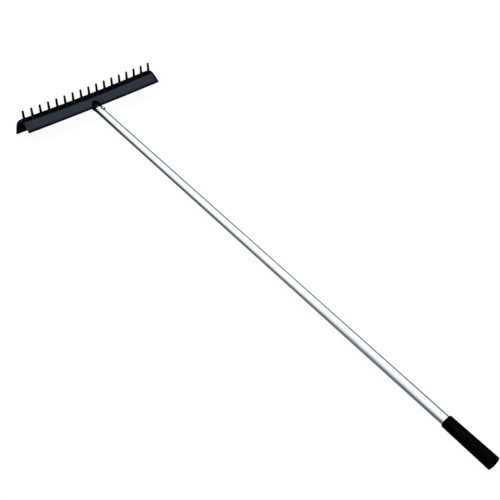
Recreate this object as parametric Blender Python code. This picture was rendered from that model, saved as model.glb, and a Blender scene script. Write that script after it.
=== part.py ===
# Bunker rake, lying on its back with the teeth up.
#
# Every piece is drawn in the handle's frame: X along the head, Y along the
# handle (the grip is at the far -Y end), Z up through the teeth. The origin is
# on the handle's axis, under the middle tooth. An empty then tips the whole
# rake until the foot of the head and the butt of the grip share one floor.

import math

import bmesh
import bpy
from mathutils import Matrix, Vector

MM = 0.001

# Clearances
TOUCH_GAP = 0.3 * MM            # between two pieces that touch
CUT_PAST = 2.0 * MM             # a hole's form runs this far past the surface

# Teeth
TOOTH_COUNT = 17
TOOTH_PITCH = 25.0 * MM
TOOTH_TIP_Z = 51.0 * MM         # above the handle's axis
TOOTH_TIP_RADIUS = 3.0 * MM
TOOTH_TIP_DOME = 2.4 * MM
TOOTH_ROOT_RADIUS = 3.7 * MM
TOOTH_FLARE_RADIUS = 5.9 * MM   # foot of the root flare, sunk in the wall
TOOTH_FLARE_HEIGHT = 2.4 * MM
TOOTH_FLARE_EASE = 0.4 * MM     # draws the flare in toward the root
TOOTH_SINK = 2.0 * MM
TOOTH_SIDES = 12

# Hood, seen from the end: slope, round crest, upright far wall
WALL = 3.0 * MM
CREST_RADIUS = 31.2 * MM
CREST_OFFSET = 4.5 * MM         # the teeth stand this far beyond the apex
CREST_Z = 23.4 * MM             # apex at the ends of the head
CREST_DIP = 1.9 * MM            # the apex is this much lower in the middle
LIP_Y = -41.1 * MM              # where the slope's line reaches LIP_Z
LIP_Z = 4.5 * MM
LIP_TRIM = 1.9 * MM             # the lip is cut upright this far before it
FAR_SLOPE = math.radians(36.0)  # where the crest's arc ends
FAR_FLAT = 4.0 * MM
FAR_RADIUS = 59.0 * MM
FAR_WALL_SLOPE = math.radians(77.5)
FOOT_Z = -47.5 * MM             # outer edge of the far wall, at the ends
EDGE_ROUND = 0.8 * MM
FOOT_CHAMFER = 0.5 * MM
CREST_BOW = 3.5 * MM            # the ends of the head lead the middle
LIP_BOW = 2.6 * MM

# Ends of the hood, drafted outwards toward the foot
END_MARGIN = 10.45 * MM         # past the end teeth, at the axis's height
END_DRAFT = 0.097
LIP_CORNER = 3.0 * MM
FOOT_CORNER = 4.5 * MM

STATIONS = 20
CREST_STEPS = 18
FAR_STEPS = 10

# Handle tube
TUBE_RADIUS = 11.1 * MM
TUBE_WALL = 1.5 * MM
TUBE_CHAMFER = 0.4 * MM
TUBE_SIDES = 48

# Socket of the head
BOSS_MOUTH_Y = -43.0 * MM
BOSS_END_Y = 12.0 * MM
BOSS_MOUTH_RADIUS = 13.5 * MM
BOSS_END_RADIUS = 14.9 * MM
BOSS_ROUND = 0.8 * MM
BOSS_RISE = 3.0 * MM            # its mouth is centred this far above the tube
POCKET_RADIUS = 11.3 * MM
POCKET_FLOOR_Y = -20.0 * MM
SPIGOT_LENGTH = 60.0 * MM
SPIGOT_CHAMFER = 1.2 * MM
BORE_RADIUS = 6.0 * MM
BORE_FLOOR_Y = -28.0 * MM
RIB_X = 13.0 * MM
RIB_THICKNESS = 2.6 * MM
RIB_START_LEAD = 4.0 * MM       # its inner edge starts this far before the crest
RIB_BOSS_LAP = 2.0 * MM         # and stops this far short of the socket's end
RIB_INNER_Z = -4.0 * MM
RIB_FOOT_Z = -30.0 * MM
BOSS_SIDES = 40

# Blind rivet through the tube and the spigot's wall. Its heights are
# measured from the tube's axis, along the rivet.
RIVET_Y = -62.0 * MM
RIVET_CLOCK = math.radians(34.0)  # from straight up, toward +X
RIVET_SHANK_RADIUS = 3.2 * MM
RIVET_HEAD_RADIUS = 6.2 * MM
RIVET_HEAD_HEIGHT = 3.4 * MM
RIVET_SKIRT = 2.3 * MM
RIVET_BULB_RADIUS = 4.5 * MM
RIVET_BULB_TOP = 3.0 * MM
RIVET_TAIL_Z = 0.6 * MM
RIVET_NECK = 1.3 * MM
RIVET_SIDES = 32
MANDREL_RADIUS = 1.8 * MM
MANDREL_HEAD_RADIUS = 2.9 * MM
MANDREL_HEAD_HEIGHT = 2.6 * MM
MANDREL_BREAK = 0.7 * MM        # below the top of the rivet's dome

# Grip
BUTT_REACH = 1469.2 * MM        # from the line of the teeth to the butt
GRIP_LENGTH = 118.8 * MM
GRIP_START_RADIUS = 14.17 * MM
GRIP_BUTT_RADIUS = 15.29 * MM
GRIP_START_ROUND = 1.0 * MM
GRIP_BUTT_ROUND = 1.2 * MM
GRIP_END_WALL = 4.0 * MM
GRIP_VENT_RADIUS = 1.5 * MM
GRIP_SIDES = 48

# Fits that follow from the sizes above
TUBE_BORE_RADIUS = TUBE_RADIUS - TUBE_WALL
TUBE_START_Y = BOSS_MOUTH_Y - TOUCH_GAP
GRIP_BUTT_Y = -BUTT_REACH
GRIP_START_Y = GRIP_BUTT_Y + GRIP_LENGTH
TUBE_END_Y = GRIP_BUTT_Y + GRIP_END_WALL + TOUCH_GAP
SPIGOT_RADIUS = TUBE_BORE_RADIUS - TOUCH_GAP
GRIP_BORE_RADIUS = TUBE_RADIUS + TOUCH_GAP
RIVET_HOLE_RADIUS = RIVET_SHANK_RADIUS + TOUCH_GAP
RIVET_SEAT_RADIUS = TUBE_RADIUS + TOUCH_GAP
RIVET_BORE_RADIUS = MANDREL_RADIUS + TOUCH_GAP
BOW_SPAN = TOOTH_PITCH * (TOOTH_COUNT - 1) / 2
END_X = BOW_SPAN + END_MARGIN
TAU = 2 * math.pi


def clear_scene():
    for item in list(bpy.data.objects):
        bpy.data.objects.remove(item, do_unlink=True)


def material(name, colour, roughness, metallic):
    made = bpy.data.materials.new(name)
    made.use_nodes = True
    shader = made.node_tree.nodes["Principled BSDF"]
    shader.inputs["Base Color"].default_value = (*colour, 1.0)
    shader.inputs["Roughness"].default_value = roughness
    shader.inputs["Metallic"].default_value = metallic
    made.diffuse_color = (*colour, 1.0)
    return made


def finish(bm, name, look=None):
    bmesh.ops.recalc_face_normals(bm, faces=bm.faces)
    mesh = bpy.data.meshes.new(name)
    bm.to_mesh(mesh)
    bm.free()
    mesh.shade_smooth()
    mesh.set_sharp_from_angle(angle=math.radians(32))
    if look is not None:
        mesh.materials.append(look)
    made = bpy.data.objects.new(name, mesh)
    bpy.context.scene.collection.objects.link(made)
    return made


def add_turned(bm, outline, sides, place=None):
    # Turns (radius, height) points about Z. A point with no radius closes
    # the body with a fan, and an outline clear of the axis closes on itself.
    place = place or Matrix.Identity(4)
    rings = []
    for radius, height in outline:
        if radius < 1e-9:
            rings.append([bm.verts.new(place @ Vector((0, 0, height)))])
            continue
        ring = []
        for step in range(sides):
            turn = TAU * step / sides
            spot = Vector((radius * math.cos(turn), radius * math.sin(turn), height))
            ring.append(bm.verts.new(place @ spot))
        rings.append(ring)
    pairs = list(zip(rings[:-1], rings[1:]))
    if len(rings[0]) > 1 and len(rings[-1]) > 1:
        pairs.append((rings[-1], rings[0]))
    for low, high in pairs:
        for step in range(sides):
            after = (step + 1) % sides
            corners = []
            for ring, index in ((low, step), (low, after), (high, after), (high, step)):
                spot = ring[index] if len(ring) > 1 else ring[0]
                if spot not in corners:
                    corners.append(spot)
            bm.faces.new(corners)


def along_handle():
    # Turned outlines stand on Z; this lays them along Y, height to +Y.
    return Matrix.Rotation(math.radians(-90), 4, "X")


def rivet_frame():
    lean = Matrix.Rotation(RIVET_CLOCK, 4, "Y")
    return Matrix.Translation((0, RIVET_Y, 0)) @ lean


def arc(centre, radius, start, end, steps):
    # Points about a centre, angles from straight up, positive toward +Y.
    points = []
    for step in range(steps + 1):
        turn = start + (end - start) * step / steps
        y = centre[0] + radius * math.sin(turn)
        z = centre[1] + radius * math.cos(turn)
        points.append((y, z))
    return points


def slope_angle():
    # Slope of the line from the lip that just touches the crest's circle.
    run = -CREST_OFFSET - LIP_Y
    rise = CREST_Z - CREST_RADIUS - LIP_Z
    reach = math.hypot(run, rise)
    return math.asin(CREST_RADIUS / reach) + math.atan2(rise, run)


def floor_tilt():
    # Tip about X that lays the foot's edge and the butt's round on one floor.
    foot_y = foot_corner_y()
    run = foot_y - (GRIP_BUTT_Y + GRIP_BUTT_ROUND)
    rise = -(GRIP_BUTT_RADIUS - GRIP_BUTT_ROUND) - FOOT_Z
    reach = math.hypot(run, rise)
    return math.acos(GRIP_BUTT_ROUND / reach) - math.atan2(run, rise)


def far_line():
    # End of the far arc, where the straight far wall begins (no bow yet).
    crest = (-CREST_OFFSET, CREST_Z - CREST_RADIUS)
    leave = (crest[0] + CREST_RADIUS * math.sin(FAR_SLOPE),
             crest[1] + CREST_RADIUS * math.cos(FAR_SLOPE))
    bend = (leave[0] + FAR_FLAT * math.cos(FAR_SLOPE),
            leave[1] - FAR_FLAT * math.sin(FAR_SLOPE))
    centre = (bend[0] - FAR_RADIUS * math.sin(FAR_SLOPE),
              bend[1] - FAR_RADIUS * math.cos(FAR_SLOPE))
    end = (centre[0] + FAR_RADIUS * math.sin(FAR_WALL_SLOPE),
           centre[1] + FAR_RADIUS * math.cos(FAR_WALL_SLOPE))
    return crest, centre, end


def foot_corner_y():
    # The foot's outer edge at the end teeth, bow included.
    end = far_line()[2]
    return end[0] + (end[1] - FOOT_Z) / math.tan(FAR_WALL_SLOPE) + CREST_BOW


def bow_share(x):
    return (x / BOW_SPAN) ** 2


def shaped(x, y, z, share):
    # Moves a point of the plain section to its place at x. The share runs
    # from 0 at the lip to 1 from the crest on.
    bow = LIP_BOW + (CREST_BOW - LIP_BOW) * share
    rise = min(max((z - LIP_Z) / (CREST_Z - LIP_Z), 0.0), 1.0)
    dip = CREST_DIP * (1 - bow_share(x)) * rise
    return y + bow * bow_share(x) + (CREST_BOW - LIP_BOW) * (1 - share), z - dip


def shell_curve(inset):
    # Plain section of the shell, lip to far wall, as (y, z, share).
    crest, centre, _ = far_line()
    near = slope_angle()
    touch = arc(crest, CREST_RADIUS - inset, -near, FAR_SLOPE, CREST_STEPS)
    lip_y = LIP_Y + LIP_TRIM
    lip_z = touch[0][1] - (touch[0][0] - lip_y) * math.tan(near)
    far = arc(centre, FAR_RADIUS - inset, FAR_SLOPE, FAR_WALL_SLOPE, FAR_STEPS)
    points = [(lip_y, lip_z, 0.0)]
    points += [(y, z, 1.0) for y, z in touch]
    points += [(y, z, 1.0) for y, z in far]
    return points


def foot_point(x, above, inset, tilt):
    # Where the far wall's face meets the floor, or a line a little above it.
    end = shell_curve(inset)[-1]
    y, z = shaped(x, *end)
    fall = math.tan(tilt)
    foot_y = foot_corner_y()
    level = FOOT_Z - (y - foot_y) * fall + above
    run = (z - level) / (math.tan(FAR_WALL_SLOPE) - fall)
    return y + run, z - run * math.tan(FAR_WALL_SLOPE)


def rounded_corner(before, corner, after, size, steps=2):
    # A short curve that takes a sharp corner off.
    a = Vector(corner) + (Vector(before) - Vector(corner)).normalized() * size
    b = Vector(corner) + (Vector(after) - Vector(corner)).normalized() * size
    curve = []
    for step in range(steps + 1):
        t = step / steps
        spot = a.lerp(Vector(corner), t).lerp(Vector(corner).lerp(b, t), t)
        curve.append((spot.x, spot.y))
    return curve


def stepped(edge, inward, size):
    # Points near a free edge, close enough to carry a rounded corner.
    start = Vector(edge)
    along = (Vector(inward) - start).normalized()
    spots = [start + along * size * share for share in (0.4, 0.7, 1.05)]
    return [(spot.x, spot.y) for spot in spots]


def section(x, tilt):
    # Closed outline of the shell at x, as (y, z) points.
    outer = [shaped(x, *point) for point in shell_curve(0.0)]
    inner = [shaped(x, *point) for point in shell_curve(WALL)]
    outer_foot = foot_point(x, 0.0, 0.0, tilt)
    inner_foot = foot_point(x, 0.0, WALL, tilt)
    loop = rounded_corner(inner[0], outer[0], outer[1], EDGE_ROUND)
    loop += stepped(outer[0], outer[1], LIP_CORNER)
    loop += outer[1:]
    loop += stepped(outer_foot, outer[-1], FOOT_CORNER)[::-1]
    loop += rounded_corner(outer[-1], outer_foot, inner_foot, FOOT_CHAMFER, 1)
    loop += rounded_corner(outer_foot, inner_foot, inner[-1], FOOT_CHAMFER, 1)
    loop += stepped(inner_foot, inner[-1], FOOT_CORNER)
    loop += inner[:0:-1]
    loop += stepped(inner[0], inner[1], LIP_CORNER)[::-1]
    loop += rounded_corner(inner[1], inner[0], outer[0], EDGE_ROUND)
    return loop


def corner_trim(distance, size):
    # How far a rounded corner stands back at this distance from its edge.
    if distance >= size:
        return 0.0
    return size - math.sqrt(max(size ** 2 - (size - distance) ** 2, 0.0))


def hood_mesh(tilt):
    bm = bmesh.new()
    rings = []
    for station in range(STATIONS + 1):
        along = 2 * station / STATIONS - 1
        ring = []
        loop = section(along * END_X, tilt)
        for y, z in loop:
            reach = END_X - END_DRAFT * z
            if y < 0:
                reach -= corner_trim(max(y - min(p[0] for p in loop), 0.0), LIP_CORNER)
            else:
                reach -= corner_trim(max(z - min(p[1] for p in loop), 0.0), FOOT_CORNER)
            ring.append(bm.verts.new((along * reach, y, z)))
        rings.append(ring)
    count = len(rings[0])
    for low, high in zip(rings[:-1], rings[1:]):
        for step in range(count):
            after = (step + 1) % count
            bm.faces.new((low[step], low[after], high[after], high[step]))
    # The open ends are narrow strips between the outer and inner curves.
    half = count // 2
    for ring in (rings[0], rings[-1]):
        for step in range(half - 1):
            bm.faces.new((ring[step], ring[step + 1],
                          ring[count - 2 - step], ring[count - 1 - step]))
    return bm


def crest_height(x):
    drop = CREST_RADIUS - math.sqrt(CREST_RADIUS ** 2 - CREST_OFFSET ** 2)
    return shaped(x, 0.0, CREST_Z - drop, 1.0)[1]


def teeth_mesh():
    bm = bmesh.new()
    for number in range(TOOTH_COUNT):
        x = (number - (TOOTH_COUNT - 1) / 2) * TOOTH_PITCH
        y = CREST_BOW * bow_share(x)
        base = crest_height(x)
        middle = (TOOTH_ROOT_RADIUS + TOOTH_FLARE_RADIUS) / 2 - TOOTH_FLARE_EASE
        outline = [(0.0, base - TOOTH_SINK),
                   (TOOTH_FLARE_RADIUS, base - TOOTH_SINK),
                   (TOOTH_FLARE_RADIUS - TOOTH_FLARE_EASE, base - TOOTH_SINK / 2),
                   (middle, base + TOOTH_FLARE_HEIGHT / 3),
                   (TOOTH_ROOT_RADIUS, base + TOOTH_FLARE_HEIGHT)]
        shoulder = TOOTH_TIP_Z - TOOTH_TIP_DOME
        for step in range(4):
            turn = math.radians(90) * step / 3
            outline.append((TOOTH_TIP_RADIUS * math.cos(turn) if step < 3 else 0.0,
                            shoulder + TOOTH_TIP_DOME * math.sin(turn)))
        add_turned(bm, outline, TOOTH_SIDES, Matrix.Translation((x, y, 0)))
    return bm


def along_socket():
    # The socket starts BOSS_RISE above the handle's axis and runs down to it.
    # The slant is a shear, so its mouth stays square to the handle.
    slant = Matrix.Identity(4)
    slant[2][1] = -BOSS_RISE / (BOSS_END_Y - BOSS_MOUTH_Y)
    slant[2][3] = BOSS_RISE * BOSS_END_Y / (BOSS_END_Y - BOSS_MOUTH_Y)
    return slant @ along_handle()


def boss_mesh():
    # The socket block.
    outline = [(0.0, BOSS_MOUTH_Y),
               (BOSS_MOUTH_RADIUS - BOSS_ROUND, BOSS_MOUTH_Y),
               (BOSS_MOUTH_RADIUS - BOSS_ROUND * 0.3, BOSS_MOUTH_Y + BOSS_ROUND * 0.3),
               (BOSS_MOUTH_RADIUS, BOSS_MOUTH_Y + BOSS_ROUND),
               (BOSS_END_RADIUS, BOSS_END_Y),
               (0.0, BOSS_END_Y)]
    bm = bmesh.new()
    add_turned(bm, outline, BOSS_SIDES, along_socket())
    return bm


def spigot_mesh():
    # Fills the end of the tube. It's rooted in the socket's solid part.
    start_y = BOSS_MOUTH_Y - SPIGOT_LENGTH
    root_y = (BORE_FLOOR_Y + POCKET_FLOOR_Y) / 2
    outline = [(0.0, start_y),
               (SPIGOT_RADIUS - SPIGOT_CHAMFER, start_y),
               (SPIGOT_RADIUS, start_y + SPIGOT_CHAMFER),
               (SPIGOT_RADIUS, root_y),
               (0.0, root_y)]
    bm = bmesh.new()
    add_turned(bm, outline, BOSS_SIDES, along_handle())
    return bm


def ribs_mesh():
    # Two gussets that tie the socket to the crest and the far wall.
    spine = [shaped(0.0, *point) for point in shell_curve(WALL / 2)]
    foot = shell_curve(WALL / 2)[-1]
    foot_y, foot_z = shaped(0.0, *foot)
    run = (foot_z - RIB_FOOT_Z) / math.tan(FAR_WALL_SLOPE)
    side = spine[1:] + [(foot_y + run, RIB_FOOT_Z)]
    side += [(BOSS_END_Y - RIB_BOSS_LAP, RIB_INNER_Z),
             (spine[1][0] - RIB_START_LEAD, RIB_INNER_Z)]
    bm = bmesh.new()
    for sign in (-1, 1):
        faces = []
        for offset in (-RIB_THICKNESS / 2, RIB_THICKNESS / 2):
            x = sign * RIB_X + offset
            faces.append([bm.verts.new((x, y, z)) for y, z in side])
        count = len(side)
        for step in range(count):
            after = (step + 1) % count
            bm.faces.new((faces[0][step], faces[0][after], faces[1][after], faces[1][step]))
        bm.faces.new(faces[0])
        bm.faces.new(faces[1])
    return bm


def cores_mesh():
    # The pocket behind the socket and the bore up the spigot.
    bm = bmesh.new()
    pocket = [(0.0, POCKET_FLOOR_Y), (POCKET_RADIUS, POCKET_FLOOR_Y),
              (POCKET_RADIUS, BOSS_END_Y + CUT_PAST), (0.0, BOSS_END_Y + CUT_PAST)]
    spigot_y = BOSS_MOUTH_Y - SPIGOT_LENGTH
    bore = [(0.0, spigot_y - CUT_PAST), (BORE_RADIUS, spigot_y - CUT_PAST),
            (BORE_RADIUS, BORE_FLOOR_Y), (0.0, BORE_FLOOR_Y)]
    add_turned(bm, pocket, BOSS_SIDES, along_socket())
    add_turned(bm, bore, RIVET_SIDES, along_handle())
    return bm


def rivet_hole_mesh():
    # One side only: the rivet is set from outside and goes no further
    # than the spigot's bore.
    reach = BOSS_MOUTH_RADIUS + CUT_PAST
    bm = bmesh.new()
    outline = [(0.0, 0.0), (RIVET_HOLE_RADIUS, 0.0),
               (RIVET_HOLE_RADIUS, reach), (0.0, reach)]
    add_turned(bm, outline, RIVET_SIDES, rivet_frame())
    return bm


def dome_mesh():
    # Domed head with a skirt, before the tube's round is cut out of it.
    bm = bmesh.new()
    outline = [(0.0, TUBE_RADIUS - RIVET_SKIRT),
               (RIVET_HEAD_RADIUS, TUBE_RADIUS - RIVET_SKIRT)]
    for step in range(8):
        turn = math.radians(90) * step / 7
        outline.append((RIVET_HEAD_RADIUS * math.cos(turn) if step < 7 else 0.0,
                        TUBE_RADIUS + RIVET_HEAD_HEIGHT * math.sin(turn)))
    add_turned(bm, outline, RIVET_SIDES)
    return bm


def shank_mesh():
    # Shank with the bulb that the mandrel draws out inside the bore.
    bm = bmesh.new()
    outline = [(0.0, RIVET_TAIL_Z),
               (RIVET_SHANK_RADIUS, RIVET_TAIL_Z),
               (RIVET_BULB_RADIUS, RIVET_TAIL_Z + RIVET_NECK * 0.8),
               (RIVET_BULB_RADIUS, RIVET_BULB_TOP),
               (RIVET_SHANK_RADIUS, RIVET_BULB_TOP + RIVET_NECK),
               (RIVET_SHANK_RADIUS, TUBE_RADIUS + RIVET_HEAD_HEIGHT / 2),
               (0.0, TUBE_RADIUS + RIVET_HEAD_HEIGHT / 2)]
    add_turned(bm, outline, RIVET_SIDES)
    return bm


def cut(target, tool, operation):
    tool.hide_render = True
    tool.display_type = "WIRE"
    change = target.modifiers.new(tool.name, "BOOLEAN")
    change.object = tool
    change.operation = operation
    change.solver = "EXACT"


def make_head(look, tilt):
    head = finish(hood_mesh(tilt), "head", look)
    cut(head, finish(teeth_mesh(), "teeth_form"), "UNION")
    cut(head, finish(ribs_mesh(), "ribs_form"), "UNION")
    cut(head, finish(boss_mesh(), "boss_form"), "UNION")
    cut(head, finish(spigot_mesh(), "spigot_form"), "UNION")
    cut(head, finish(cores_mesh(), "cores_form"), "DIFFERENCE")
    cut(head, finish(rivet_hole_mesh(), "spigot_hole_form"), "DIFFERENCE")
    return head


def make_tube(look):
    outline = [(TUBE_BORE_RADIUS, TUBE_END_Y),
               (TUBE_RADIUS - TUBE_CHAMFER, TUBE_END_Y),
               (TUBE_RADIUS, TUBE_END_Y + TUBE_CHAMFER),
               (TUBE_RADIUS, TUBE_START_Y - TUBE_CHAMFER),
               (TUBE_RADIUS - TUBE_CHAMFER, TUBE_START_Y),
               (TUBE_BORE_RADIUS, TUBE_START_Y)]
    bm = bmesh.new()
    add_turned(bm, outline, TUBE_SIDES, along_handle())
    tube = finish(bm, "handle_tube", look)
    cut(tube, finish(rivet_hole_mesh(), "tube_hole_form"), "DIFFERENCE")
    return tube


def in_rivet_frame(item):
    item.location = (0.0, RIVET_Y, 0.0)
    item.rotation_euler = (0.0, RIVET_CLOCK, 0.0)


def make_rivet(look):
    rivet = finish(dome_mesh(), "rivet_body", look)
    reach = 4 * RIVET_HEAD_RADIUS
    bm = bmesh.new()
    seat = [(0.0, -reach), (RIVET_SEAT_RADIUS, -reach),
            (RIVET_SEAT_RADIUS, reach), (0.0, reach)]
    add_turned(bm, seat, 2 * TUBE_SIDES, along_handle())
    seat_form = finish(bm, "rivet_seat_form")
    shank_form = finish(shank_mesh(), "rivet_shank_form")
    bm = bmesh.new()
    bore = [(0.0, -reach), (RIVET_BORE_RADIUS, -reach),
            (RIVET_BORE_RADIUS, reach), (0.0, reach)]
    add_turned(bm, bore, RIVET_SIDES)
    bore_form = finish(bm, "rivet_bore_form")
    cut(rivet, seat_form, "DIFFERENCE")
    cut(rivet, shank_form, "UNION")
    cut(rivet, bore_form, "DIFFERENCE")
    in_rivet_frame(rivet)
    for form in (seat_form, shank_form, bore_form):
        form.parent = rivet
    return rivet


def make_mandrel(look):
    head_top = RIVET_TAIL_Z - TOUCH_GAP
    outline = [(0.0, head_top - MANDREL_HEAD_HEIGHT),
               (MANDREL_HEAD_RADIUS * 0.6, head_top - MANDREL_HEAD_HEIGHT * 0.9),
               (MANDREL_HEAD_RADIUS * 0.9, head_top - MANDREL_HEAD_HEIGHT * 0.6),
               (MANDREL_HEAD_RADIUS, head_top - MANDREL_HEAD_HEIGHT * 0.2),
               (MANDREL_HEAD_RADIUS, head_top),
               (MANDREL_RADIUS, head_top),
               (MANDREL_RADIUS, TUBE_RADIUS + RIVET_HEAD_HEIGHT - MANDREL_BREAK),
               (0.0, TUBE_RADIUS + RIVET_HEAD_HEIGHT - MANDREL_BREAK)]
    bm = bmesh.new()
    add_turned(bm, outline, RIVET_SIDES)
    mandrel = finish(bm, "rivet_mandrel", look)
    in_rivet_frame(mandrel)
    return mandrel


def make_grip(look):
    spread = math.atan2(GRIP_BUTT_RADIUS - GRIP_START_RADIUS, GRIP_START_Y - GRIP_BUTT_Y)
    outline = [(GRIP_BORE_RADIUS, GRIP_START_Y),
               (GRIP_BORE_RADIUS, GRIP_BUTT_Y + GRIP_END_WALL),
               (GRIP_VENT_RADIUS, GRIP_BUTT_Y + GRIP_END_WALL),
               (GRIP_VENT_RADIUS, GRIP_BUTT_Y)]
    for step in range(6):
        turn = math.radians(90) * (1 - step / 5) + spread * step / 5
        outline.append((GRIP_BUTT_RADIUS - GRIP_BUTT_ROUND * (1 - math.cos(turn)),
                        GRIP_BUTT_Y + GRIP_BUTT_ROUND * (1 - math.sin(turn))))
    for step in range(4):
        turn = math.radians(90) * step / 3
        outline.append((GRIP_START_RADIUS - GRIP_START_ROUND * (1 - math.cos(turn)),
                        GRIP_START_Y - GRIP_START_ROUND * (1 - math.sin(turn))))
    bm = bmesh.new()
    add_turned(bm, outline, GRIP_SIDES, along_handle())
    return finish(bm, "grip", look)


def set_down(rest, pieces, tilt):
    # Tips the rake, then puts the middle of its footprint over the origin.
    rest.rotation_euler = (tilt, 0.0, 0.0)
    bpy.context.view_layer.update()
    graph = bpy.context.evaluated_depsgraph_get()
    spots = []
    for piece in pieces:
        shape = piece.evaluated_get(graph)
        spots += [shape.matrix_world @ vert.co for vert in shape.data.vertices]
    lows = [min(spot[axis] for spot in spots) for axis in range(3)]
    highs = [max(spot[axis] for spot in spots) for axis in range(3)]
    rest.location = (-(lows[0] + highs[0]) / 2, -(lows[1] + highs[1]) / 2, -lows[2])


def main():
    clear_scene()
    tilt = floor_tilt()
    plastic = material("black_plastic", (0.028, 0.031, 0.040), 0.42, 0.0)
    aluminium = material("satin_aluminium", (0.86, 0.88, 0.90), 0.34, 1.0)
    rivet_metal = material("rivet_aluminium", (0.66, 0.69, 0.70), 0.36, 1.0)
    steel = material("mandrel_steel", (0.42, 0.43, 0.44), 0.45, 1.0)
    rubber = material("black_rubber", (0.015, 0.016, 0.019), 0.62, 0.0)
    pieces = [make_head(plastic, tilt),
              make_tube(aluminium),
              make_rivet(rivet_metal),
              make_mandrel(steel),
              make_grip(rubber)]
    rest = bpy.data.objects.new("rake_rest", None)
    bpy.context.scene.collection.objects.link(rest)
    for item in list(bpy.data.objects):
        if item is not rest and item.parent is None:
            item.parent = rest
    set_down(rest, pieces, tilt)
    bpy.context.view_layer.update()


main()
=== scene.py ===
# %% [markdown]
# # A bunker rake in Blender
#
# The rake lies on its back with the teeth up: one black moulded head, a long
# aluminium tube, a blind rivet that holds the two together, and a rubber grip.
# The CAD model gives the sizes, and this notebook gives the looks. It draws
# each piece again with finer faces and rounder edges, then makes its finish
# from nodes. The imported CAD is loaded first, and its box is kept, so that it
# can be printed beside the box of what is drawn here. The imported CAD is
# loaded first, and its box is kept, because nothing drawn here may grow past
# it.

# %% Load the imported frame
import math

import bmesh
import bpy
from mathutils import Euler, Matrix, Vector


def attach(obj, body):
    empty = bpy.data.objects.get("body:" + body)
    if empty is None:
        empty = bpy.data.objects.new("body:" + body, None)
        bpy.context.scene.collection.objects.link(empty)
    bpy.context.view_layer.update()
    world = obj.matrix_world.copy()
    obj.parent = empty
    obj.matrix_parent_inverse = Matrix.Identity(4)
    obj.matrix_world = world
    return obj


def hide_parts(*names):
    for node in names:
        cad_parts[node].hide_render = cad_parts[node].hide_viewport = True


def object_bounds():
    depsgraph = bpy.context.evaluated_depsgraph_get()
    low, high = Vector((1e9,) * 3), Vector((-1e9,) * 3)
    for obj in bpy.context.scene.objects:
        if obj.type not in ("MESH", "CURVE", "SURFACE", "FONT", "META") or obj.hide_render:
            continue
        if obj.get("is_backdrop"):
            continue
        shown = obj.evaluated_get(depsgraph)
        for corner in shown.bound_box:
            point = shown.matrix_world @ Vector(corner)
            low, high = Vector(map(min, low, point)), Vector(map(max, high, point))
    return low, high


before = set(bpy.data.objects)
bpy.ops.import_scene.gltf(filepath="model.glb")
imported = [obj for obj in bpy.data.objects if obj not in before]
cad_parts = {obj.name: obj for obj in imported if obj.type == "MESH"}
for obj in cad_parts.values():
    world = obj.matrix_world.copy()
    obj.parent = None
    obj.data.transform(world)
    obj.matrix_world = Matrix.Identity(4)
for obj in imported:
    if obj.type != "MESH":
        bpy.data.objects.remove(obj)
cad_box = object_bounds()
print("CAD nodes:", ", ".join(sorted(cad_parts)))

# %% [markdown]
# ## One frame for drawing
#
# A handle is easiest to draw straight: X runs along the head, Y along the
# handle with the grip at the far -Y end, and Z up through the teeth. The
# finished rake rests on the foot of its head and the butt of its grip, so it
# is tipped a little. Every mesh is drawn straight, and the tip and the shift
# are then put into its points. The object itself stays at the origin, so that
# all the pieces share one frame.

# %% Sizes shared by all pieces
MM = 0.001
CM = 0.01
GAP = 0.3 * MM
REST_TIP = math.radians(1.215852433)
REST_SHIFT = Vector((0.0, 709.145367, 46.436377)) * MM
REST = Matrix.Translation(REST_SHIFT) @ Matrix.Rotation(REST_TIP, 4, "X")
RIVET_Y = -62.0 * MM
RIVET_CLOCK = math.radians(34.0)
RIVET_PLACE = Matrix.Translation((0, RIVET_Y, 0)) @ Matrix.Rotation(RIVET_CLOCK, 4, "Y")
BOW_SPAN = 200.0 * MM
LIP_BOW = 2.6 * MM
CREST_BOW = 3.5 * MM
SHARP_ANGLE = math.radians(34)
MERGE_DISTANCE = 0.002 * MM
SLIVER = 0.001 * MM
TURN = 2 * math.pi


def new_object(name, data):
    made = bpy.data.objects.new(name, data)
    bpy.context.scene.collection.objects.link(made)
    return made


def object_from(bm, name, look):
    """Makes an object of a bmesh, which is then freed."""
    mesh = bpy.data.meshes.new(name)
    bm.to_mesh(mesh)
    bm.free()
    mesh.materials.append(look)
    return new_object(name, mesh)


def plain_mesh(piece):
    """The piece's mesh as its modifiers leave it. The modifiers then go."""
    bpy.context.view_layer.update()
    graph = bpy.context.evaluated_depsgraph_get()
    made = bpy.data.meshes.new_from_object(piece.evaluated_get(graph))
    piece.modifiers.clear()
    return made


def lay_down(piece):
    """Puts a drawn mesh at rest and points its faces outwards."""
    mesh = piece.data
    mesh.transform(REST)
    bm = bmesh.new()
    bm.from_mesh(mesh)
    bmesh.ops.remove_doubles(bm, verts=bm.verts, dist=MERGE_DISTANCE)
    bmesh.ops.dissolve_degenerate(bm, edges=bm.edges, dist=SLIVER)
    bmesh.ops.recalc_face_normals(bm, faces=bm.faces)
    # A thin piece can come out inside out: then its volume is below nought.
    if bm.calc_volume(signed=True) < 0:
        bmesh.ops.reverse_faces(bm, faces=bm.faces)
    volume = bm.calc_volume(signed=True) / CM ** 3
    open_edges = sum(1 for edge in bm.edges if not edge.is_manifold)
    bm.to_mesh(mesh)
    bm.free()
    mesh.shade_smooth()
    mesh.set_sharp_from_angle(angle=SHARP_ANGLE)
    triangles = sum(len(face.vertices) - 2 for face in mesh.polygons)
    print(f"{piece.name}: {triangles} triangles, {open_edges} open edges, {volume:.2f} cm3")


print("rest tip:", round(math.degrees(REST_TIP), 3), "degrees")

# %% [markdown]
# ## Writing sums as nodes
#
# Two pieces here follow a rule: the hood and the row of teeth. A Geometry
# Nodes tree holds such a rule well, because its sizes stay as named inputs.
# Dozens of Math nodes are hard to read as code, so a small class stands for a
# number in a tree. Adding to it, or multiplying it, writes the Math node, and
# the rule then reads like the sum it is. The finishes use the same numbers.

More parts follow.
